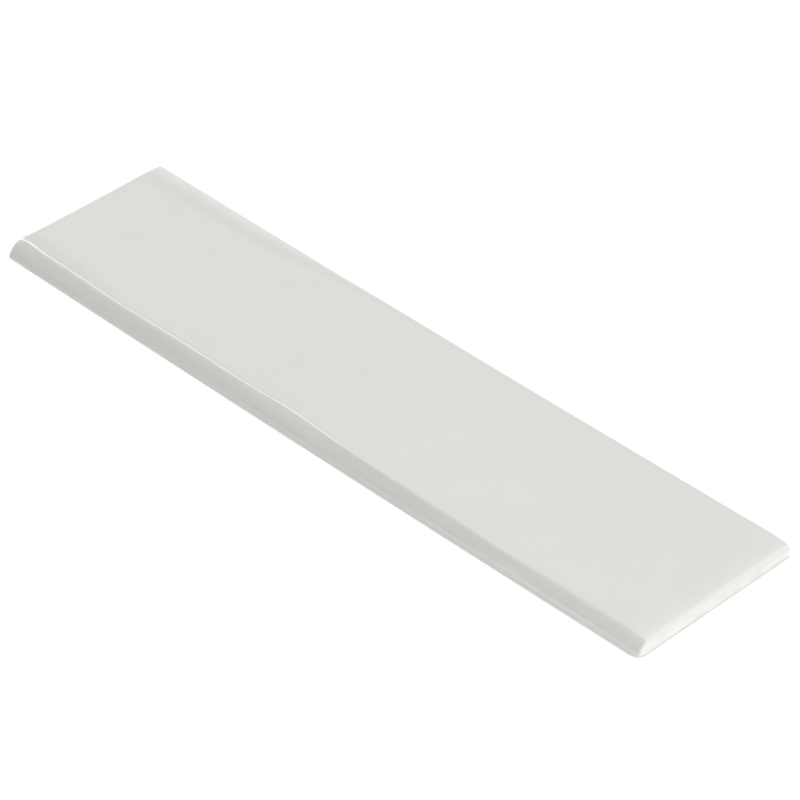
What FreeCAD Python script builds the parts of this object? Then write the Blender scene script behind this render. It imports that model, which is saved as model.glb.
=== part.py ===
"""A pressed and glazed ceramic bullnose wall tile, lying on its keyed back.

Millimetres. X runs along the tile, Y from the rounded nose to the straight edge, Z up
from the bonding plane. The origin is the middle of the underside.
"""
import FreeCAD, Part
import os
import Sketcher

Vector = FreeCAD.Vector
Constraint = Sketcher.Constraint

# The sizes of the tile, each with the words that describe it.
SIZES = [
    ("tile_length", 300, "length of the piece, the long way"),
    ("tile_width", 71.8, "from the nose to the straight edge"),
    ("tile_thickness", 6, "from the bonding plane to the glazed face"),
    ("nose_reach", 6, "how far the nose curve runs into the face"),
    ("nose_land", 0.2, "upright strip between the nose curve and the lower easing"),
    ("edge_round", 2.2, "rounding of the ends and of the straight edge"),
    ("base_ease", 0.3, "slant of the lower arris, all round"),
    ("back_rim", 6, "least plain border round the keyed back"),
    ("key_side", 12, "side of one square keying recess, at the mouth"),
    ("key_rib", 3.2, "rib left between two recesses"),
    ("key_depth", 0.6, "depth of a recess"),
    ("key_draft", 35, "lean of a recess wall, in degrees"),
]


def size_sheet(doc):
    """Write the sizes to a sheet in which every value has a name."""
    sheet = doc.addObject("Spreadsheet::Sheet", "sizes")
    for row, (name, value, words) in enumerate(SIZES, 1):
        sheet.set(f"A{row}", name)
        sheet.set(f"B{row}", str(value))
        sheet.set(f"C{row}", words)
        sheet.setAlias(f"B{row}", name)
    doc.recompute()
    return sheet


def origin_item(body, role):
    """Return one of the body's own planes or axes."""
    for item in body.Origin.OriginFeatures:
        if item.Role == role:
            return item
    raise RuntimeError(f"the body has no {role}")


def sketch_on(body, role, name):
    """Start a sketch on one of the body's own planes."""
    sketch = body.newObject("Sketcher::SketchObject", name)
    sketch.AttachmentSupport = [(origin_item(body, role), "")]
    sketch.MapMode = "FlatFace"
    return sketch


def drive(sketch, name, constraint, expression):
    """Add a named dimension and bind it to the sheet."""
    sketch.addConstraint(constraint)
    sketch.renameConstraint(sketch.ConstraintCount - 1, name)
    sketch.setExpression(f"Constraints.{name}", expression)


def edges_where(shape, wanted):
    """Return the names of the edges whose box passes a test."""
    names = []
    for number, edge in enumerate(shape.Edges, 1):
        if wanted(edge.BoundBox):
            names.append(f"Edge{number}")
    return names


def near(value, target):
    """Tell whether a coordinate lies on a given plane."""
    return abs(value - target) < 1e-4


def draw_section(body, sheet):
    """Draw the cross section: flat back, upright edge, flat face, elliptical nose."""
    half = float(sheet.tile_width) / 2
    top = float(sheet.tile_thickness)
    reach = float(sheet.nose_reach)
    land_top = float(sheet.nose_land) + float(sheet.base_ease)
    sketch = sketch_on(body, "YZ_Plane", "section")

    back = sketch.addGeometry(Part.LineSegment(Vector(-half, 0, 0), Vector(half, 0, 0)))
    edge = sketch.addGeometry(Part.LineSegment(Vector(half, 0, 0), Vector(half, top, 0)))
    face = sketch.addGeometry(Part.LineSegment(Vector(half, top, 0), Vector(reach - half, top, 0)))
    land = sketch.addGeometry(Part.LineSegment(Vector(-half, land_top, 0), Vector(-half, 0, 0)))

    # A quarter ellipse is a curve of three poles whose middle pole, at the sharp corner,
    # has the weight cos 45.
    poles = [Vector(reach - half, top, 0), Vector(-half, top, 0), Vector(-half, land_top, 0)]
    curve = Part.BSplineCurve()
    curve.buildFromPolesMultsKnots(poles, [3, 3], [0, 1], False, 2, [1, 0.5 ** 0.5, 1])
    nose = sketch.addGeometry(curve)

    sketch.addConstraint(Constraint("Coincident", back, 2, edge, 1))
    sketch.addConstraint(Constraint("Coincident", edge, 2, face, 1))
    sketch.addConstraint(Constraint("Coincident", face, 2, nose, 1))
    sketch.addConstraint(Constraint("Coincident", nose, 2, land, 1))
    sketch.addConstraint(Constraint("Coincident", land, 2, back, 1))
    sketch.addConstraint(Constraint("Horizontal", back))
    sketch.addConstraint(Constraint("Vertical", edge))
    sketch.addConstraint(Constraint("Horizontal", face))
    sketch.addConstraint(Constraint("Vertical", land))
    sketch.addConstraint(Constraint("Symmetric", back, 1, back, 2, -1, 1))

    middle_pole = sketch.GeometryCount + 1
    sketch.exposeInternalGeometry(nose)
    sketch.addConstraint(Constraint("Vertical", middle_pole, 3, land, 2))
    sketch.addConstraint(Constraint("Horizontal", middle_pole, 3, face, 1))

    drive(sketch, "width", Constraint("DistanceX", back, 1, back, 2, 2 * half), "sizes.tile_width")
    drive(sketch, "thickness", Constraint("DistanceY", edge, 1, edge, 2, top), "sizes.tile_thickness")
    drive(sketch, "reach", Constraint("DistanceX", nose, 2, nose, 1, reach), "sizes.nose_reach")
    drive(sketch, "land", Constraint("DistanceY", land, 2, land, 1, land_top),
          "sizes.nose_land + sizes.base_ease")
    return sketch


def press_blank(doc, body, sheet):
    """Run the section along the tile and round the glazed edges."""
    blank = body.newObject("PartDesign::Pad", "pressed_blank")
    blank.Profile = draw_section(body, sheet)
    blank.Midplane = True
    blank.setExpression("Length", "sizes.tile_length")
    doc.recompute()

    half_long = float(sheet.tile_length) / 2
    half_wide = float(sheet.tile_width) / 2
    top = float(sheet.tile_thickness)

    def glazed_edge(box):
        at_end = near(box.XLength, 0) and near(abs(box.XMin), half_long) and box.ZMax > 1e-4
        at_back = near(box.YMin, half_wide) and near(box.ZMin, top)
        return at_end or at_back

    # The rounding rolls round the nose, so it stays under the tighter of the nose's two bends.
    rounding = body.newObject("PartDesign::Fillet", "glazed_edges")
    rounding.Base = (blank, edges_where(blank.Shape, glazed_edge))
    reach = "sizes.nose_reach"
    rise = "(sizes.tile_thickness - sizes.nose_land - sizes.base_ease)"
    rounding.setExpression(
        "Radius",
        f"min(sizes.edge_round; 0.8 * {reach} * {reach} / {rise}; 0.8 * {rise} * {rise} / {reach})",
    )
    doc.recompute()

    easing = body.newObject("PartDesign::Chamfer", "lower_arris")
    easing.Base = (rounding, edges_where(rounding.Shape, lambda box: near(box.ZMax, 0)))
    easing.setExpression("Size", "sizes.base_ease")
    doc.recompute()
    return easing


def key_back(doc, body, sheet):
    """Press a grid of shallow drafted recesses into the back, as a hold for the adhesive."""
    pitch = "(sizes.key_side + sizes.key_rib)"
    count_x = f"floor((sizes.tile_length - 2 * sizes.back_rim + sizes.key_rib) / {pitch})"
    count_y = f"floor((sizes.tile_width - 2 * sizes.back_rim + sizes.key_rib) / {pitch})"
    side = float(sheet.key_side)

    sketch = sketch_on(body, "XY_Plane", "first_recess")
    corners = [(-1, -1), (1, -1), (1, 1), (-1, 1)]
    points = [Vector(x * side / 2, y * side / 2, 0) for x, y in corners]
    lines = []
    for number in range(4):
        lines.append(sketch.addGeometry(Part.LineSegment(points[number], points[(number + 1) % 4])))
    for number in range(4):
        sketch.addConstraint(Constraint("Coincident", lines[number], 2, lines[(number + 1) % 4], 1))
    sketch.addConstraint(Constraint("Horizontal", lines[0]))
    sketch.addConstraint(Constraint("Vertical", lines[1]))
    sketch.addConstraint(Constraint("Horizontal", lines[2]))
    sketch.addConstraint(Constraint("Vertical", lines[3]))
    drive(sketch, "long", Constraint("DistanceX", lines[0], 1, lines[0], 2, side), "sizes.key_side")
    drive(sketch, "wide", Constraint("DistanceY", lines[1], 1, lines[1], 2, side), "sizes.key_side")
    drive(sketch, "from_left", Constraint("DistanceX", lines[0], 1, -1, 1, side / 2),
          f"{pitch} * ({count_x} - 1) / 2 + sizes.key_side / 2")
    drive(sketch, "from_nose", Constraint("DistanceY", lines[0], 1, -1, 1, side / 2),
          f"{pitch} * ({count_y} - 1) / 2 + sizes.key_side / 2")

    recess = body.newObject("PartDesign::Pocket", "key_recess")
    recess.Profile = sketch
    recess.Reversed = True
    recess.setExpression("Length", "sizes.key_depth")
    recess.setExpression("TaperAngle", "-sizes.key_draft")
    doc.recompute()

    grid = body.newObject("PartDesign::LinearPattern", "key_grid")
    grid.Originals = [recess]
    grid.Direction = (origin_item(body, "X_Axis"), [""])
    grid.Direction2 = (origin_item(body, "Y_Axis"), [""])
    body.Tip = grid
    grid.setExpression("Length", f"{pitch} * ({count_x} - 1)")
    grid.setExpression("Length2", f"{pitch} * ({count_y} - 1)")
    grid.setExpression("Occurrences", count_x)
    grid.setExpression("Occurrences2", count_y)
    doc.recompute()
    return grid


def main():
    """Build the tile, look it over and write it."""
    doc = FreeCAD.newDocument("tile")
    sheet = size_sheet(doc)
    body = doc.addObject("PartDesign::Body", "bullnose_tile")
    body.Label = "bullnose_tile"
    plain = press_blank(doc, body, sheet)
    keyed = key_back(doc, body, sheet)
    body.Placement = FreeCAD.Placement(Vector(0, 0, 0), FreeCAD.Rotation())
    doc.recompute()

    for item in doc.Objects:
        if "Invalid" in item.State or "Error" in item.State:
            raise RuntimeError(f"{item.Name} did not build: {item.State}")
    if body.Shape.isNull() or not body.Shape.isValid() or len(body.Shape.Solids) != 1:
        raise RuntimeError("the tile is not one sound solid")
    if keyed.Shape.Volume >= plain.Shape.Volume:
        raise RuntimeError("the keying recesses took nothing away")

    os.makedirs("parts", exist_ok=True)
    body.Shape.exportStep(f"parts/{body.Label}.step")
    box = body.Shape.BoundBox
    print(f"{body.Label}: {box.XLength:.3f} x {box.YLength:.3f} x {box.ZLength:.3f} mm,"
          f" {body.Shape.Volume / 1000:.3f} cm3, {len(body.Shape.Faces)} faces,"
          f" keyed by {(plain.Shape.Volume - keyed.Shape.Volume) / 1000:.3f} cm3")


main()
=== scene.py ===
# %% [markdown]
# A glazed bullnose wall tile
#
# The object is one pressed, glazed and fired ceramic piece: flat on the back, rounded over along
# one long edge. The measured part comes from CAD as a fixed frame. This file dresses it: it models
# the same tile again with the soft forms that the kiln gives it, and paints glaze and bare body.
# Everything is in metres, lying on Z = 0, with the rounded nose towards -Y.

# %% Load the measured part
import math

import bmesh
import bpy
from mathutils import Matrix, Vector, noise


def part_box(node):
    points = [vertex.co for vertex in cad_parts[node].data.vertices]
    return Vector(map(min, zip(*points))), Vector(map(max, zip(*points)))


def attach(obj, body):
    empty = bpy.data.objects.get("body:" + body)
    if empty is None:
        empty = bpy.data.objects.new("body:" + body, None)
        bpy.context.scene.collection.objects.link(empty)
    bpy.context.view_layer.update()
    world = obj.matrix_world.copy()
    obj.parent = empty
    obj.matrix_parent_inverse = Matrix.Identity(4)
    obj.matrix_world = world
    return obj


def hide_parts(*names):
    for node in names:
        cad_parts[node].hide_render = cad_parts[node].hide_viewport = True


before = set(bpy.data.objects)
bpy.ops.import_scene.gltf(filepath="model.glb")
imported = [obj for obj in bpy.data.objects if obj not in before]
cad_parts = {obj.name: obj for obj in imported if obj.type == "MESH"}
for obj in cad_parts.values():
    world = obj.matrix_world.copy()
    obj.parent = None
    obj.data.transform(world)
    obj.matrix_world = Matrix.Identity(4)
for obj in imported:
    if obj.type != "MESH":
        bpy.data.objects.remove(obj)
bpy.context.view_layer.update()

low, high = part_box("bullnose_tile")
MM = 0.001
LONG = high[0] - low[0]
WIDE = high[1] - low[1]
THICK = high[2] - low[2]
HALF_LONG = LONG / 2
HALF_WIDE = WIDE / 2
print(f"tile {LONG / MM:.1f} x {WIDE / MM:.1f} x {THICK / MM:.1f} mm")

# %% [markdown]
# The cross section
#
# A press gives the tile one section along its whole length: flat back, upright edge, flat face and
# a rounded nose. The nose is made of arcs that run into each other: a small round foot, a long slope
# that is almost straight, and a tight shoulder that eases into the face. They could be typed in as
# points, but a spin says what they are: the last vertex is swung about the centre of the next arc.
# The chain is then scaled to the exact height.

# %% Swing the nose
NOSE_FOOT = 0.4 * MM
NOSE_RISE = THICK - NOSE_FOOT
# Each arc: the degrees it turns, its radius and its number of steps.
NOSE_ARCS = [(24, 1.2 * MM, 8), (6, 10.5 * MM, 6), (4, 4 * MM, 4), (8, 20 * MM, 8),
             (44, 2.4 * MM, 22), (4, 14 * MM, 6)]

tile = bmesh.new()
tip = tile.verts.new((-HALF_LONG, -HALF_WIDE, NOSE_FOOT))
lean = math.radians(90)
for turn, radius, steps in NOSE_ARCS:
    centre = tip.co + radius * Vector((0, math.sin(lean), -math.cos(lean)))
    swung = bmesh.ops.spin(tile, geom=[tip], cent=centre, axis=(1, 0, 0), angle=-math.radians(turn),
                           steps=steps, use_duplicate=False)
    tip = swung["geom_last"][0]
    lean -= math.radians(turn)
stretch = NOSE_RISE / (tip.co.z - NOSE_FOOT)
bmesh.ops.scale(tile, verts=tile.verts[:], vec=(1, 1, stretch),
                space=Matrix.Translation((0, 0, -NOSE_FOOT)))
print("nose", round((tip.co.y + HALF_WIDE) / MM, 2), "mm deep, height scaled by", round(stretch, 4))

# %% Close the section
arc = sorted(tile.verts, key=lambda v: v.co.z)
corner_places = [(HALF_WIDE, THICK), (HALF_WIDE, 0), (-HALF_WIDE, 0)]
corners = [tile.verts.new((-HALF_LONG, y, z)) for y, z in corner_places]
chain = [arc[-1], *corners, arc[0]]
for one, two in zip(chain, chain[1:]):
    tile.edges.new((one, two))
section = bmesh.ops.contextual_create(tile, geom=tile.edges[:])["faces"]
print("section of", len(section[0].verts), "corners")

# %% [markdown]
# From section to blank
#
# The press runs the section along the tile. A curve with a bevel profile could do it too, but one
# extrusion of the face along X keeps plain faces that the next steps can bevel and cut. The far face
# of the extrusion is the other end.

# %% Run the section along the tile
run = bmesh.ops.extrude_face_region(tile, geom=section)
moved = [v for v in run["geom"] if isinstance(v, bmesh.types.BMVert)]
bmesh.ops.translate(tile, verts=moved, vec=(LONG, 0, 0))
bmesh.ops.recalc_face_normals(tile, faces=tile.faces[:])
print("blank of", len(tile.faces), "faces, volume", round(tile.calc_volume() * 1e6, 2), "cm3")

# %% [markdown]
# Rounded straight edge and ends
#
# Glaze pulls off a sharp arris in the kiln, so the die rounds the straight edge and eases the two
# ends. Bevels with several segments and a round profile do this on the model. The straight edge
# comes first with a wide round. The ends follow with a tight one, which then runs over the face,
# the straight edge and the nose without a seam.

# %% Bevel the glazed edges
BACK_ROUND = 1.2 * MM
BACK_STEPS = 12
END_ROUND = 0.9 * MM
END_STEPS = 8
TINY = 1e-6


def at(value, target):
    """Tell whether a coordinate lies on a plane."""
    return abs(value - target) < TINY


def on_end(edge):
    """An edge of one of the two end faces, but not on the back."""
    a, b = (v.co for v in edge.verts)
    same_end = at(abs(a.x), HALF_LONG) and at(a.x, b.x)
    return same_end and max(a.z, b.z) > TINY


def on_straight_edge(edge):
    """The long upper arris away from the nose."""
    return all(at(v.co.y, HALF_WIDE) and at(v.co.z, THICK) for v in edge.verts)


def round_over(mesh, edges, radius, steps):
    """Bevel some edges to a round."""
    bmesh.ops.bevel(mesh, geom=edges, offset=radius, offset_type="OFFSET", affect="EDGES",
                    segments=steps, profile=0.5, material=-1, clamp_overlap=False)
    print("rounded", len(edges), "edges, now", len(mesh.faces), "faces")


round_over(tile, [e for e in tile.edges if on_straight_edge(e)], BACK_ROUND, BACK_STEPS)
round_over(tile, [e for e in tile.edges if on_end(e)], END_ROUND, END_STEPS)

# %% [markdown]
# The lower arris
#
# The lower arris is only eased, so that the tile leaves the die cleanly. The edges to bevel are
# those between the back face and a side. It comes after the ends, so that one small bevel runs all
# the way round the back.

# %% Ease the lower arris
BASE_EASE = 0.25 * MM
BASE_STEPS = 2


def lower_arris(edge):
    """An edge of the outline of the back."""
    return all(at(v.co.z, 0) for v in edge.verts) and len(edge.link_faces) == 2


round_over(tile, [e for e in tile.edges if lower_arris(e)], BASE_EASE, BASE_STEPS)

# %% [markdown]
# Fine cuts for the soft forms
#
# The face of such a tile is not dead flat: it sags softly towards its edges. To bend the mesh it
# needs vertices, so planes cut it across and along. A subdivision would give them too, but not where
# they are wanted: the cuts lie close together near the edges, and on the borders of the keying
# recesses in the back, so the same net serves both.

# %% Plan the cuts
KEY_SIDE = 12.0 * MM
KEY_RIB = 3.2 * MM
BACK_RIM = 6.0 * MM
KEY_PITCH = KEY_SIDE + KEY_RIB
CELL_CUTS = 7
RIB_CUTS = 2
END_MARGINS = [m * MM for m in (1.3, 1.7, 2.2, 2.8, 3.6, 4.6, 5.6)]
LONG_MARGINS = [m * MM for m in (1.5, 1.9, 2.4, 2.9, 3.6, 4.4, 5.2, 5.8, 6.4)]


def recess_starts(span):
    """Lower borders of the recesses along one way of the back."""
    count = math.floor((span - 2 * BACK_RIM + KEY_RIB) / KEY_PITCH)
    first = -(count * KEY_PITCH - KEY_RIB) / 2
    return [first + number * KEY_PITCH for number in range(count)]


def cut_places(starts, half, margins):
    """Places of the cuts: recess borders, cuts inside recesses and ribs, and cuts near the edges."""
    places = []
    for start in starts:
        places += [start + KEY_SIDE * n / CELL_CUTS for n in range(CELL_CUTS + 1)]
        places += [start + KEY_SIDE + KEY_RIB * n / RIB_CUTS for n in range(1, RIB_CUTS)]
    places = [p for p in places if p <= starts[-1] + KEY_SIDE + TINY]
    for margin in margins:
        places += [-half + margin, half - margin]
    return sorted(places)


starts_x = recess_starts(LONG)
starts_y = recess_starts(WIDE)
cuts_x = cut_places(starts_x, HALF_LONG, END_MARGINS)
cuts_y = cut_places(starts_y, HALF_WIDE, LONG_MARGINS)
print(len(starts_x), "by", len(starts_y), "recesses,", len(cuts_x), "and", len(cuts_y), "cuts")

# %% Cut the mesh
FOOT_CUT = 0.55 * MM
LIP_CUT = THICK - BACK_ROUND - 0.25 * MM


def slice_at(mesh, place, normal):
    """Cut the whole mesh along one plane, keeping both sides."""
    parts = mesh.verts[:] + mesh.edges[:] + mesh.faces[:]
    bmesh.ops.bisect_plane(mesh, geom=parts, plane_co=Vector(normal) * place, plane_no=normal,
                           dist=TINY)


for places, normal in ((cuts_x, (1, 0, 0)), (cuts_y, (0, 1, 0)), ((FOOT_CUT, LIP_CUT), (0, 0, 1))):
    for place in places:
        slice_at(tile, place, normal)
print("net of", len(tile.faces), "faces")

# %% [markdown]
# The keyed back
#
# Adhesive needs a hold, so the press leaves a grid of shallow square recesses in the back, with
# walls that lean so the tile comes off the punch. Each recess is a patch of the back that is
# extruded inwards and drawn together a little. A boolean with a grid of blocks would do it too, but
# leaves long thin faces. The extrusion leaves the old patch in place as a lid, so the lid is deleted.

# %% Press the recesses
KEY_DEPTH = 0.6 * MM
KEY_DRAFT = math.radians(35)
FACING_DOWN = -0.99

back_faces = [f for f in tile.faces
              if f.normal.z < FACING_DOWN and f.calc_center_median().z < TINY]
patches = {}
for face in back_faces:
    middle = face.calc_center_median()
    for i, x in enumerate(starts_x):
        for j, y in enumerate(starts_y):
            if x < middle.x < x + KEY_SIDE and y < middle.y < y + KEY_SIDE:
                patches.setdefault((i, j), []).append(face)

shrink = 1 - 2 * KEY_DEPTH * math.tan(KEY_DRAFT) / KEY_SIDE
for (i, j), faces in patches.items():
    pressed = bmesh.ops.extrude_face_region(tile, geom=faces)
    floor_verts = [v for v in pressed["geom"] if isinstance(v, bmesh.types.BMVert)]
    middle = Vector((starts_x[i] + KEY_SIDE / 2, starts_y[j] + KEY_SIDE / 2, 0))
    bmesh.ops.translate(tile, verts=floor_verts, vec=(0, 0, KEY_DEPTH))
    bmesh.ops.scale(tile, verts=floor_verts, vec=(shrink, shrink, 1),
                    space=Matrix.Translation(-middle))
    bmesh.ops.delete(tile, geom=faces, context="FACES")
bmesh.ops.remove_doubles(tile, verts=tile.verts[:], dist=TINY / 10)
bmesh.ops.recalc_face_normals(tile, faces=tile.faces[:])
open_edges = [e for e in tile.edges if len(e.link_faces) != 2]
print(len(patches), "recesses,", len(open_edges), "open edges, volume",
      round(tile.calc_volume() * 1e6, 2), "cm3")

# %% [markdown]
# Soft forms from the kiln
#
# A fired tile is not as exact as its die. The face crowns by a third of a millimetre and sags
# towards its edges, and the shoulder of the nose wanders by up to two and a half millimetres. A
# glossy face shows all this in its reflections. A lattice or a sculpting brush could do it by eye.
# Here one function moves each vertex, so that each soft form has a name and a size. A few small
# shapes of curve serve all of them: a roll-off, a soft step, a bump and a slow wave.

# %% Soft steps, bumps and waves


def sag(distance, reach, depth):
    """How far the face has dropped at a distance from an edge."""
    if distance >= reach:
        return 0.0
    return depth * (1 - max(distance, 0) / reach) ** 3


def smooth(low_end, high_end, value):
    """A soft step from 0 to 1."""
    share = min(max((value - low_end) / (high_end - low_end), 0), 1)
    return share * share * (3 - 2 * share)


def swell(value, middle, width):
    """A soft bump of height 1."""
    return math.exp(-((value - middle) / width) ** 2)


def wave(x, y, seed, size):
    """A slow wave between -1 and 1, the same on every run."""
    return noise.noise(Vector((x / size + seed, y / size - 2 * seed, seed)))


print("at a quarter of the way a soft step stands at", smooth(0, 1, 0.25))

# %% [markdown]
# The sag of the face
#
# The far end rolls off tightly and deeply, the near end widely and gently. The straight edge rolls
# off widely near the far end and only a little elsewhere. Where three roll-offs meet in a corner,
# their sum would dig too deep, so they are combined as the sides of a box are into its diagonal.

# %% How the face rises and sags
FACE_CROWN = 0.3 * MM
FAR_REACH, FAR_DROP, FAR_CORNER_EASE = 3.4 * MM, 2.0 * MM, 0.3 * MM
FAR_CORNER = (24 * MM, 33 * MM)
NEAR_REACH, NEAR_DROP = 14 * MM, 0.95 * MM
WIDE_REACH, WIDE_DROP = 21.5 * MM, 1.6 * MM
EDGE_REACH, EDGE_DROP = 6 * MM, 0.45 * MM
WIDE_FADE = (45 * MM, 125 * MM)
NOSE_REACH, NOSE_DROP, NOSE_FAR_DROP = 14 * MM, 0.4 * MM, 0.5 * MM
NOSE_FADE = (15 * MM, 75 * MM)
# Each wave: its height, its seed and its size.
WAVES = [(0.02 * MM, 3.7, 38 * MM), (0.04 * MM, 9.1, 90 * MM)]


def face_rise(x, y):
    """How far the face stands above the pressed plane: a crown that rolls off to the edges."""
    from_far = HALF_LONG + x
    from_back = HALF_WIDE - y
    wide = 1 - smooth(*WIDE_FADE, from_far)
    near_tip = 1 - smooth(*NOSE_FADE, from_far)
    far = sag(from_far, FAR_REACH, FAR_DROP - FAR_CORNER_EASE * smooth(*FAR_CORNER, abs(y)))
    back = wide * sag(from_back, WIDE_REACH, WIDE_DROP)
    back += (1 - wide) * sag(from_back, EDGE_REACH, EDGE_DROP)
    nose = sag(HALF_WIDE + y, NOSE_REACH, NOSE_DROP + NOSE_FAR_DROP * near_tip)
    near = sag(HALF_LONG - x, NEAR_REACH, NEAR_DROP)
    ripple = sum(rise * wave(x, y, seed, size) for rise, seed, size in WAVES)
    return FACE_CROWN - math.hypot(far, back, nose) - near + ripple


print("face rises", round(face_rise(0, 0) / MM, 2), "mm in the middle")

# %% [markdown]
# The wandering shoulder
#
# The line where the nose meets the face is not straight: the glaze has drawn it in and out along the
# tile. A few rows of place and move say how, with soft steps between them. The slope below follows,
# less and less towards the foot. The shoulder is crisper in the middle and rounder at the far tip,
# where it spreads the highlight.

# %% How the nose moves
# Each row: a place along the tile and how far the shoulder has moved into the face, in millimetres.
SHOULDER = [(-150, 0.7), (-144, 1.7), (-136, 1.4), (-124, 1.4), (-99, 0.87), (-58, 1.68),
            (-36, 1.52), (-11, 2.5), (12, 1.58), (46, 1.06), (62, 0.8), (98, -0.1), (108, 0.3),
            (150, 0.2)]
SHOULDER_FADE = (8 * MM, 18 * MM)
SLOPE_START, SLOPE_POWER = 2.1 * MM, 1.7
FAR_LEAN, FAR_LEAN_FADE = 0.2 * MM, (-80 * MM, -50 * MM)
FOOT_TO_SLOPE = (0.7 * MM, 2.2 * MM)


def shoulder_shift(x):
    """How far the shoulder has run into the face at a place along the tile."""
    for (x0, move0), (x1, move1) in zip(SHOULDER, SHOULDER[1:]):
        if x < x1 * MM:
            break
    return (move0 + (move1 - move0) * smooth(x0 * MM, x1 * MM, x)) * MM


def nose_move(x, z, from_nose):
    """How far a point of the nose moves towards the face."""
    fade = 1 - smooth(*SHOULDER_FADE, from_nose)
    by_height = min(max((z - SLOPE_START) / (THICK - SLOPE_START), 0), 1) ** SLOPE_POWER
    tilt = FAR_LEAN * (1 - smooth(*FAR_LEAN_FADE, x))
    return fade * ((shoulder_shift(x) - tilt) * by_height + tilt * smooth(*FOOT_TO_SLOPE, z))


print("shoulder moves", round(shoulder_shift(0) / MM, 2), "mm in the middle of the tile")

# %% How crisp the shoulder is
SHOULDER_PLACE = 3.2 * MM
SHOULDER_BAND = (4.6 * MM, 5.2 * MM)
CRISP, CRISP_WIDE = 0.14 * MM, 0.7 * MM
CRISP_MIDDLE, CRISP_SPAN = 38 * MM, 40 * MM
SOFT, SOFT_WIDE = 0.16 * MM, 1.4 * MM
SOFT_FADE = (-148 * MM, -138 * MM)


def shoulder_edge(x, z, from_nose):
    """How far the shoulder stands out: crisper in the middle of the tile, softer at the far tip."""
    crisp = CRISP * swell(x, CRISP_MIDDLE, CRISP_SPAN) * swell(from_nose, SHOULDER_PLACE, CRISP_WIDE)
    soft = SOFT * (1 - smooth(*SOFT_FADE, x)) * swell(from_nose, SHOULDER_PLACE, SOFT_WIDE)
    return (crisp - soft) * smooth(*SHOULDER_BAND, z)


middle_edge = shoulder_edge(0, THICK, SHOULDER_PLACE)
print("shoulder stands out", round(middle_edge / MM, 3), "mm in the middle of the tile")

# %% [markdown]
# The outline
#
# The long edges bow, the straight edge drifts and the ends lean a little. At the near end the foot of
# the nose and the lip of the straight edge are rounded off in plan. A bevel of the upright edges could
# round them, but its radius cannot change with the height, so square corners are pulled in instead.

# %% How the outline moves
BOW_OUT, BOW_IN = 0.2 * MM, 0.6 * MM
BACK_SHIFT = 0.1 * MM
# Each drift of the straight edge: its size and the stretch along the tile where it comes in.
BACK_DRIFTS = [(-0.93 * MM, (-108 * MM, -30 * MM)), (0.11 * MM, (20 * MM, 90 * MM)),
               (0.17 * MM, (125 * MM, HALF_LONG))]
NEAR_SKEW, NEAR_FADE = 0.2 * MM, (110 * MM, HALF_LONG)
FAR_SKEW, FAR_FADE = 0.3 * MM, (-HALF_LONG, -120 * MM)
FAR_MIDDLE = ((-30 * MM, -15 * MM), (18 * MM, 30 * MM))
FAR_LOW = (0.5 * MM, 4 * MM)


def bow(x):
    """How far the long edges have bowed at a place along the tile."""
    return BOW_OUT - BOW_IN * (1 - (x / HALF_LONG) ** 2)


def back_drift(x, y):
    """How far the straight edge has drifted outwards."""
    drift = BACK_SHIFT + sum(size * smooth(*stretch, x) for size, stretch in BACK_DRIFTS)
    return drift * smooth(0, HALF_WIDE, y)


def end_skew(x, y, z):
    """How far the two ends lean along the tile."""
    near = NEAR_SKEW * (1 - smooth(-HALF_WIDE, HALF_WIDE, y)) * smooth(*NEAR_FADE, x)
    far = FAR_SKEW * (1 - smooth(*FAR_FADE, x))
    in_middle = smooth(*FAR_MIDDLE[0], y) * (1 - smooth(*FAR_MIDDLE[1], y))
    return near + far * max(in_middle, 1 - smooth(*FAR_LOW, z))


print("long edges bow", round((bow(HALF_LONG) - bow(0)) / MM, 2), "mm")

# %% How the near corners are rounded
FOOT_CORNER, FOOT_CORNER_LOW, FOOT_FADE = 0.1 * MM, 3.4 * MM, (0.2 * MM, 1.8 * MM)
FOOT_PAST_END = 0.2 * MM
LIP_CORNER, LIP_CORNER_HIGH, LIP_FADE = 0.3 * MM, 0.9 * MM, (3.5 * MM, 5.5 * MM)
LIP_INSET = 0.55 * MM


def round_corner(x, y, corner_x, corner_y, radius):
    """Pull a square corner of the outline in to a round one."""
    ways = math.copysign(1, corner_x), math.copysign(1, corner_y)
    u = 1 - (corner_x - x) * ways[0] / radius
    v = 1 - (corner_y - y) * ways[1] / radius
    if u <= 0 or v <= 0:
        return x, y
    u, v = u * math.sqrt(max(1 - v * v / 2, 0)), v * math.sqrt(max(1 - u * u / 2, 0))
    return corner_x - ways[0] * radius * (1 - u), corner_y - ways[1] * radius * (1 - v)


def round_near_end(x, y, z, shift):
    """Round the foot of the nose and the lip of the straight edge at the near end."""
    foot = FOOT_CORNER + FOOT_CORNER_LOW * (1 - smooth(*FOOT_FADE, z))
    x, y = round_corner(x, y, HALF_LONG + FOOT_PAST_END, shift - HALF_WIDE, foot)
    lip = LIP_CORNER + LIP_CORNER_HIGH * smooth(*LIP_FADE, z)
    return round_corner(x, y, HALF_LONG, shift + HALF_WIDE - LIP_INSET, lip)


print("foot corner of", round((FOOT_CORNER + FOOT_CORNER_LOW) / MM, 2), "mm at the floor")

# %% [markdown]
# Bend every vertex
#
# All the moves come together in one function of a point of the pressed shape. The place of each
# vertex before the move is kept as an attribute, because the glaze line follows the pressed shape and
# not the soft forms.

# %% Bend the tile
pressed_layer = tile.verts.layers.float_vector.new("pressed")
LIFT_FROM, LIFT_TO = 0.15 * THICK, 0.95 * THICK
EDGE_FORWARD, EDGE_UP = 0.5, 0.87


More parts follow.
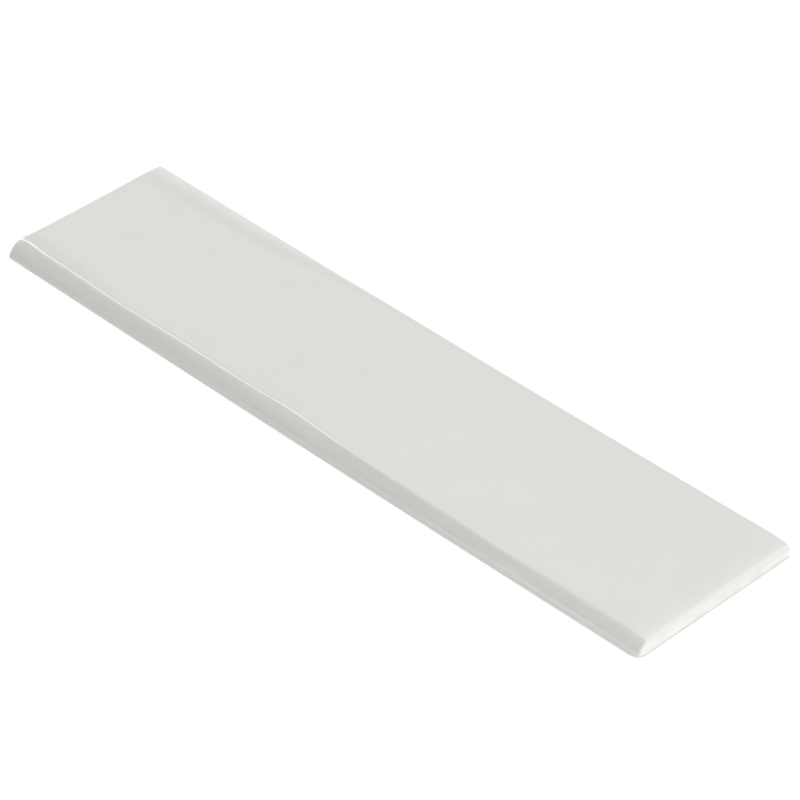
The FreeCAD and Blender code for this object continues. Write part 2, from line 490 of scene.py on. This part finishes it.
def bend(place):
    """Move one point of the pressed shape to its place on the fired tile."""
    x, y, z = place
    from_nose = HALF_WIDE + y
    shift = bow(x)
    new_x = x + end_skew(x, y, z)
    new_y = y + shift + back_drift(x, y) + nose_move(x, z, from_nose)
    new_x, new_y = round_near_end(new_x, new_y, z, shift)
    edge = shoulder_edge(x, z, from_nose)
    lift = face_rise(x, y) * smooth(LIFT_FROM, LIFT_TO, z)
    return Vector((new_x, new_y - EDGE_FORWARD * edge, z + lift + EDGE_UP * edge))


for vert in tile.verts:
    vert[pressed_layer] = vert.co
    vert.co = bend(vert.co)
print("tile between", round(min(v.co.z for v in tile.verts) / MM, 3), "and",
      round(max(v.co.z for v in tile.verts) / MM, 3), "mm high")

# %% [markdown]
# The piece
#
# The mesh becomes one object that stands for the CAD node, which is hidden, and rides on its
# body. Its faces are smooth, with a hard edge only where the angle is steep, as in the recesses.

# %% Make the piece
HARD_ANGLE = math.radians(32)

mesh = bpy.data.meshes.new("glazed_tile")
tile.to_mesh(mesh)
tile.free()
mesh.shade_smooth()
mesh.set_sharp_from_angle(angle=HARD_ANGLE)
glazed_tile = bpy.data.objects.new("glazed_tile", mesh)
bpy.context.scene.collection.objects.link(glazed_tile)
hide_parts("bullnose_tile")
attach(glazed_tile, "root")
mesh.calc_loop_triangles()
print("piece of", len(mesh.loop_triangles), "triangles")

# %% [markdown]
# Node trees in short words
#
# The glaze, the floor and the room are all node trees. A small helper class keeps the code short:
# each method adds one node, fills its sockets with numbers or links, and hands back its output.

# %% A helper for node trees


class Graph:
    """A node tree with short words for its usual nodes."""

    def __init__(self, tree):
        self.nodes = tree.nodes
        self.links = tree.links

    def add(self, kind, **settings):
        """Add a node and set its options."""
        node = self.nodes.new(kind)
        for name, value in settings.items():
            setattr(node, name, value)
        return node

    def feed(self, socket, source):
        """Fill a socket with a link or a value."""
        if isinstance(source, bpy.types.NodeSocket):
            self.links.new(source, socket)
        else:
            socket.default_value = source

    def calc(self, operation, *values):
        """Do a sum on numbers."""
        node = self.add("ShaderNodeMath", operation=operation)
        for socket, value in zip(node.inputs, values):
            self.feed(socket, value)
        return node.outputs[0]

    def along(self, vector, way):
        """Measure a vector along a direction."""
        node = self.add("ShaderNodeVectorMath", operation="DOT_PRODUCT")
        self.feed(node.inputs[0], vector)
        node.inputs[1].default_value = way
        return node.outputs["Value"]

    def ramp(self, value, start, end, low_out=0.0, high_out=1.0):
        """Step softly from one number to another."""
        node = self.add("ShaderNodeMapRange", interpolation_type="SMOOTHSTEP")
        for name, source in (("Value", value), ("From Min", start), ("From Max", end),
                             ("To Min", low_out), ("To Max", high_out)):
            self.feed(node.inputs[name], source)
        return node.outputs["Result"]

    def clouds(self, vector, scale, detail, rough):
        """Make cloudy noise."""
        node = self.add("ShaderNodeTexNoise")
        for name, source in (("Vector", vector), ("Scale", scale), ("Detail", detail),
                             ("Roughness", rough)):
            self.feed(node.inputs[name], source)
        return node.outputs["Fac"]

    def mix(self, kind, sockets, result, *values):
        """Mix two values of one kind: the mix node has sockets of its own for each kind."""
        node = self.add("ShaderNodeMix", data_type=kind)
        for number, value in zip(sockets, values):
            self.feed(node.inputs[number], value)
        return node.outputs[result]

    def blend(self, share, one, two):
        """Mix two colours."""
        return self.mix("RGBA", (0, 6, 7), 2, share, one, two)

    def between(self, share, one, two):
        """Mix two numbers."""
        return self.mix("FLOAT", (0, 2, 3), 0, share, one, two)


print("words for nodes:", ", ".join(name for name in vars(Graph) if not name.startswith("_")))

# %% [markdown]
# Glaze and bare body
#
# The glaze is a pale warm grey, glossy and very slightly clouded. It stops where the ends, the
# straight edge and the back begin: there the cream body shows. Two materials on two sets of faces
# would put the border on the edges of the mesh. One material holds both instead, because they are
# fused: a mask from the pressed place of each point decides which one is seen, with a ragged border.

# %% Where the body is bare
LIP_DEPTH = 1.0 * MM
LIP_RAGGED = 0.5 * MM
RAGGED_CLOUDS = (260.0, 4.0, 0.6)
SIDE_DEPTH = 0.1 * MM
BASE_DEPTH = 0.22 * MM
RECESS_SPARE = 0.1 * MM
BARE_FROM, BARE_TO = -0.03 * MM, 0.05 * MM
GLAZE_IOR = 1.56

glaze = bpy.data.materials.new("fired_glaze")
glaze.use_nodes = True
g = Graph(glaze.node_tree)
shader = g.nodes["Principled BSDF"]
shader.inputs["IOR"].default_value = GLAZE_IOR

spot = g.add("ShaderNodeAttribute", attribute_name="pressed").outputs["Vector"]
axes = g.add("ShaderNodeSeparateXYZ")
g.links.new(spot, axes.inputs[0])
pressed_x, pressed_y, pressed_z = axes.outputs

ragged = g.calc("MULTIPLY", g.calc("SUBTRACT", g.clouds(spot, *RAGGED_CLOUDS), 0.5), LIP_RAGGED)
past_end = g.calc("SUBTRACT", g.calc("ABSOLUTE", pressed_x), HALF_LONG)
past_back = g.calc("SUBTRACT", pressed_y, HALF_WIDE)
past_edge = g.calc("MAXIMUM", past_end, past_back)
under_lip = g.calc("ADD", g.calc("SUBTRACT", THICK - LIP_DEPTH, pressed_z), ragged)
on_side = g.calc("MINIMUM", g.calc("ADD", past_edge, SIDE_DEPTH), under_lip)
in_recess = g.calc("MINIMUM", g.calc("SUBTRACT", KEY_DEPTH + RECESS_SPARE, pressed_z),
                   g.calc("SUBTRACT", HALF_WIDE - BACK_RIM / 2, g.calc("ABSOLUTE", pressed_y)))
on_base = g.calc("MAXIMUM", g.calc("SUBTRACT", BASE_DEPTH, pressed_z), in_recess)
bare = g.ramp(g.calc("MAXIMUM", on_side, on_base), BARE_FROM, BARE_TO)
print("mask of", len(g.nodes), "nodes")

# %% [markdown]
# Colours and gloss
#
# The glaze is lighter where it ends at the near end: partly thinner glaze, partly a painted highlight
# along the lit lip. Low on the nose it is a shade darker, which is painted shade. The bare body is
# mottled in flat layers from the pressing and a little darker right under the glaze; it is darker
# still at the foot, a painted shadow where the tile meets the floor. Bare clay is matt and glaze is
# glossy, so the mask sets the roughness too.

# %% Colour of the glaze
BLACK = (0, 0, 0, 1)
GLAZE_DEEP = (0.718, 0.711, 0.679, 1)
GLAZE_PALE = (0.732, 0.725, 0.695, 1)
# The near lip's glaze: partly thinner glaze, partly a painted highlight along the lit lip.
GLAZE_THIN_AND_LIT = (0.815, 0.806, 0.775, 1)
GLAZE_CLOUDS, CLOUD_SPREAD = (45.0, 4.0, 0.55), (0.3, 0.7)
LIT_LIP_WIDE = 1.6 * MM
# Painted shade: the glaze is a shade darker low on the nose.
LOW_NOSE_SHADE_FROM, LOW_NOSE_SHADE_TO, LOW_NOSE_SHADE = 2.4 * MM, 4.2 * MM, 0.96

cloud = g.ramp(g.clouds(spot, *GLAZE_CLOUDS), *CLOUD_SPREAD)
glaze_colour = g.blend(cloud, GLAZE_DEEP, GLAZE_PALE)
# Lighter over the last stretch before the near end: partly thin glaze, partly painted highlight.
thin_and_lit = g.ramp(g.calc("SUBTRACT", pressed_x, HALF_LONG), -LIT_LIP_WIDE, 0.0)
glaze_colour = g.blend(thin_and_lit, glaze_colour, GLAZE_THIN_AND_LIT)
# Painted shade: darker low on the nose, fading out by the upper slope.
low_nose_shade = g.ramp(pressed_z, LOW_NOSE_SHADE_FROM, LOW_NOSE_SHADE_TO, LOW_NOSE_SHADE, 1.0)
glaze_colour = g.blend(low_nose_shade, BLACK, glaze_colour)
print("glaze colour ready after", len(g.nodes), "nodes")

# %% Colour of the body, and gloss
BODY_CREAM = (0.878, 0.871, 0.842, 1)
BODY_STAIN = (0.82, 0.782, 0.745, 1)
BODY_LAYERS = (0.55, 0.55, 1.5)
STAIN_CLOUDS, STAIN_SPREAD = (330.0, 6.0, 0.68), (0.42, 0.68)
# The FOOT numbers are painted shadow: the bare body is darker at its foot, where the tile meets the
# floor.
FOOT_FROM, FOOT_TO, FOOT_SHADE = 0.75 * MM, 1.25 * MM, 0.83
SEAM_FROM, SEAM_TO, SEAM_SHADE = 0.05 * MM, 0.5 * MM, 0.955
GLAZE_ROUGH, BODY_ROUGH = 0.09, 0.8

layers = g.add("ShaderNodeVectorMath", operation="MULTIPLY")
g.feed(layers.inputs[0], spot)
layers.inputs[1].default_value = BODY_LAYERS
stains = g.ramp(g.clouds(layers.outputs[0], *STAIN_CLOUDS), *STAIN_SPREAD)
# Painted shadow along the foot of the bare body.
foot_shade = g.ramp(pressed_z, FOOT_FROM, FOOT_TO, FOOT_SHADE, 1.0)
seam_shade = g.ramp(g.calc("ABSOLUTE", under_lip), SEAM_FROM, SEAM_TO, SEAM_SHADE, 1.0)
body_colour = g.blend(g.calc("MULTIPLY", foot_shade, seam_shade), BLACK,
                      g.blend(stains, BODY_CREAM, BODY_STAIN))
g.feed(shader.inputs["Base Color"], g.blend(bare, glaze_colour, body_colour))
g.feed(shader.inputs["Roughness"], g.ramp(bare, 0.0, 1.0, GLAZE_ROUGH, BODY_ROUGH))
mesh.materials.append(glaze)
print("glaze of", len(g.nodes), "nodes")

# %% [markdown]
# The floor
#
# A pale floor carries the tile and keeps its soft shadow. The camera and mirror rays see it as
# white: part of it glows, and the rest takes light and shadow. Other rays see plain white paper, so
# that the light it throws up onto the tile stays true.

# %% Lay the floor
FLOOR_HALF = 30

ground = bpy.data.meshes.new("floor")
pad = bmesh.new()
bmesh.ops.create_grid(pad, x_segments=1, y_segments=1, size=FLOOR_HALF)
pad.to_mesh(ground)
pad.free()
floor = bpy.data.objects.new("floor", ground)
bpy.context.scene.collection.objects.link(floor)
print("floor", 2 * FLOOR_HALF, "m wide")

# %% Paint the floor
PAPER = (0.85, 0.85, 0.85, 1)
PAPER_SHADED = (0.22, 0.22, 0.22, 1)
PAPER_GLOW = 0.85

paper = bpy.data.materials.new("white_paper")
paper.use_nodes = True
paper.node_tree.nodes.clear()
f = Graph(paper.node_tree)
rays = f.add("ShaderNodeLightPath").outputs
seen = f.calc("MAXIMUM", f.calc("MAXIMUM", rays["Is Camera Ray"], rays["Is Glossy Ray"]),
              rays["Is Transmission Ray"])
plain = f.add("ShaderNodeBsdfDiffuse")
plain.inputs["Color"].default_value = PAPER
shaded = f.add("ShaderNodeBsdfDiffuse")
shaded.inputs["Color"].default_value = PAPER_SHADED
glow = f.add("ShaderNodeEmission")
glow.inputs["Strength"].default_value = PAPER_GLOW
both = f.add("ShaderNodeAddShader")
f.feed(both.inputs[0], shaded.outputs[0])
f.feed(both.inputs[1], glow.outputs[0])
pick = f.add("ShaderNodeMixShader")
for socket, source in zip(pick.inputs, (seen, plain.outputs[0], both.outputs[0])):
    f.feed(socket, source)
f.feed(f.add("ShaderNodeOutputMaterial").inputs["Surface"], pick.outputs[0])
ground.materials.append(paper)
print("paper of", len(f.nodes), "nodes")

# %% [markdown]
# The room
#
# A glossy tile shows the room around it. Behind it hangs a white backdrop, up to about twenty-five
# degrees. Above it comes a darker gap, and then a wide pale panel that the flat face mirrors. To the
# left the panel ends, and a narrow bright strip draws the thin line along the shoulder. Low in front
# on the left stands a white card, which the foot of the nose mirrors. The rest of the room is dimmer.
# Lamps could do all this, but painted on the sky by direction it stays soft and far away.

# %% The front of the room
REST_LIGHT, FRONT_LIGHT, CARD_LIGHT = 0.2, 0.32, 1.75
FRONT_RIGHT = (0.72, -0.69, 0)
FRONT_EDGE, FRONT_DEPTH = (-0.06, 0.2), (-0.35, -0.1)
CARD_LEFT, CARD_RIGHT, CARD_TOP = (-0.63, -0.585), (-0.1, 0.3), (0.17, 0.21)
CARD_FAINT = 0.6

world = bpy.data.worlds.new("room")
bpy.context.scene.world = world
world.use_nodes = True
w = Graph(world.node_tree)
background = w.nodes["Background"]
background.inputs["Color"].default_value = (1, 1, 1, 1)
way = w.add("ShaderNodeTexCoord").outputs["Generated"]
left_right = w.along(way, (1, 0, 0))
front_back = w.along(way, (0, 1, 0))
height = w.along(way, (0, 0, 1))

front = w.calc("MULTIPLY", w.ramp(w.along(way, FRONT_RIGHT), *FRONT_EDGE),
               w.ramp(front_back, *FRONT_DEPTH, 1, 0))
rest = w.between(front, REST_LIGHT, FRONT_LIGHT)
card = w.calc("MULTIPLY", w.ramp(left_right, *CARD_LEFT, CARD_FAINT),
              w.ramp(left_right, *CARD_RIGHT, 1, 0))
card = w.calc("MULTIPLY", card, w.ramp(height, *CARD_TOP, 1, 0))
rest = w.between(card, rest, CARD_LIGHT)
print("front of the room ready after", len(w.nodes), "nodes")

# %% The backdrop and the panel
GAP_LIGHT, BACKDROP_LIGHT = 0.48, 1.0
PANEL_LEFT_LIGHT, PANEL_RIGHT_LIGHT = 0.97, 1.8
BACK_LEFT = (-0.7, 0.71, 0)
PANEL_SIDE = (0.609, 0.793, 0)
BACK_EDGE, BACKDROP_TOP = (0.0, 0.25), (0.385, 0.43)
PANEL_FOOT, PANEL_EDGE, PANEL_SPREAD = (0.5, 0.535), (-0.02, 0.02), (-0.47, -0.1)

inside = w.calc("MULTIPLY", w.ramp(height, *PANEL_FOOT),
                w.ramp(w.along(way, PANEL_SIDE), *PANEL_EDGE))
panel_light = w.ramp(left_right, *PANEL_SPREAD, PANEL_LEFT_LIGHT, PANEL_RIGHT_LIGHT)
panel = w.between(inside, GAP_LIGHT, panel_light)
backdrop = w.between(w.ramp(height, *BACKDROP_TOP), BACKDROP_LIGHT, panel)
room = w.between(w.ramp(w.along(way, BACK_LEFT), *BACK_EDGE), rest, backdrop)
print("back of the room ready after", len(w.nodes), "nodes")

# %% Soft glows
# Each glow: its direction, how near to it the glow starts and is full, and its strength.
GLOWS = [((0.45, -0.88, 0.12), 0.75, 0.95, 0.4), ((0.95, -0.1, 0.25), 0.75, 0.95, 1.48),
         ((0.75, 0.5, 0.45), 0.8, 0.95, 0.35), ((0.15, 0.45, 0.88), 0.85, 0.97, 0.715)]

for way_to, start, full, strength in GLOWS:
    nearness = w.along(way, Vector(way_to).normalized())
    room = w.calc("ADD", room, w.ramp(nearness, start, full, 0.0, strength))
print(len(GLOWS), "soft glows")

# %% The strip, and the dark under the floor
STRIP_LIGHT = 4.8
STRIP_SIDES = [((0.4147, 0.91, 0), (1, 0)), ((0.2079, 0.978, 0), (0, 1))]
STRIP_EDGE = 0.03
STRIP_END, STRIP_FOOT = (-0.59, -0.51), (0.12, 0.2)
FLOOR_LINE = (-0.03, -0.01)

left_side, right_side = (w.ramp(w.along(way, side), -STRIP_EDGE, STRIP_EDGE, *levels)
                         for side, levels in STRIP_SIDES)
strip = w.calc("MULTIPLY", left_side, right_side)
strip = w.calc("MULTIPLY", strip, w.ramp(left_right, *STRIP_END, 1, 0))
strip = w.calc("MULTIPLY", strip, w.ramp(height, *STRIP_FOOT))
light = w.calc("ADD", room, w.calc("MULTIPLY", strip, STRIP_LIGHT))
above_floor = w.ramp(height, *FLOOR_LINE)
w.feed(background.inputs["Strength"], w.calc("MULTIPLY", light, above_floor))
print("room of", len(w.nodes), "nodes")

# %% [markdown]
# Two lamps near the nose
#
# The nose is a little lighter towards the near end and at the far tip, so two soft lamps stand close
# by, low in front of it. Light painted on the sky cannot do this, because it is the same all along
# the tile. The radiance of each lamp is set, and its power follows from its area.

# %% Place the lamps


def place_lamp(name, wide, tall, radiance, place, target):
    """A soft area lamp that faces a point and is not seen by the camera."""
    lamp = bpy.data.lights.new(name, "AREA")
    lamp.shape = "RECTANGLE"
    lamp.size = wide
    lamp.size_y = tall
    lamp.energy = radiance * math.pi * wide * tall
    holder = bpy.data.objects.new(name, lamp)
    holder.location = place
    holder.rotation_euler = (Vector(place) - Vector(target)).to_track_quat("Z", "Y").to_euler()
    holder.visible_camera = False
    bpy.context.scene.collection.objects.link(holder)
    print(name, "of", round(lamp.energy, 4), "W")


place_lamp("near_lamp", wide=0.3, tall=0.1, radiance=0.94, place=(0.24, -0.22, 0.07), target=(0, 0, 0))
place_lamp("far_lamp", wide=0.1, tall=0.06, radiance=0.22, place=(-0.19, -0.15, 0.06),
           target=(-0.12, -0.036, 0.003))

# %% [markdown]
# The camera
#
# The photograph looks down along the tile with a long lens from the front right. The camera stands
# on a line given by two angles and a distance from a point near the tile's middle. The lens follows
# from a focal length in pixels, which is what a fit of the corners gives.

# %% Set the camera
AZIMUTH = math.radians(45.48)
ELEVATION = math.radians(37.54)
DISTANCE = 1.403
AIM = Vector((4.37 * MM, 4.53 * MM, 0))
FOCAL_PIXELS = 4206.05
PHOTO_SIDE = 800
SENSOR = 36
NEAR_CLIP = 0.05

back_way = Vector((math.sin(AZIMUTH) * math.cos(ELEVATION),
                   -math.cos(AZIMUTH) * math.cos(ELEVATION), math.sin(ELEVATION)))
eye = bpy.data.cameras.new("eye")
eye.sensor_width = SENSOR
eye.lens = FOCAL_PIXELS / PHOTO_SIDE * SENSOR
eye.clip_start = NEAR_CLIP
camera = bpy.data.objects.new("eye", eye)
camera.location = AIM + back_way * DISTANCE
camera.rotation_euler = back_way.to_track_quat("Z", "Y").to_euler()
bpy.context.scene.collection.objects.link(camera)
bpy.context.scene.camera = camera
bpy.context.scene.view_settings.view_transform = "Standard"
print("lens of", round(eye.lens, 1), "mm")
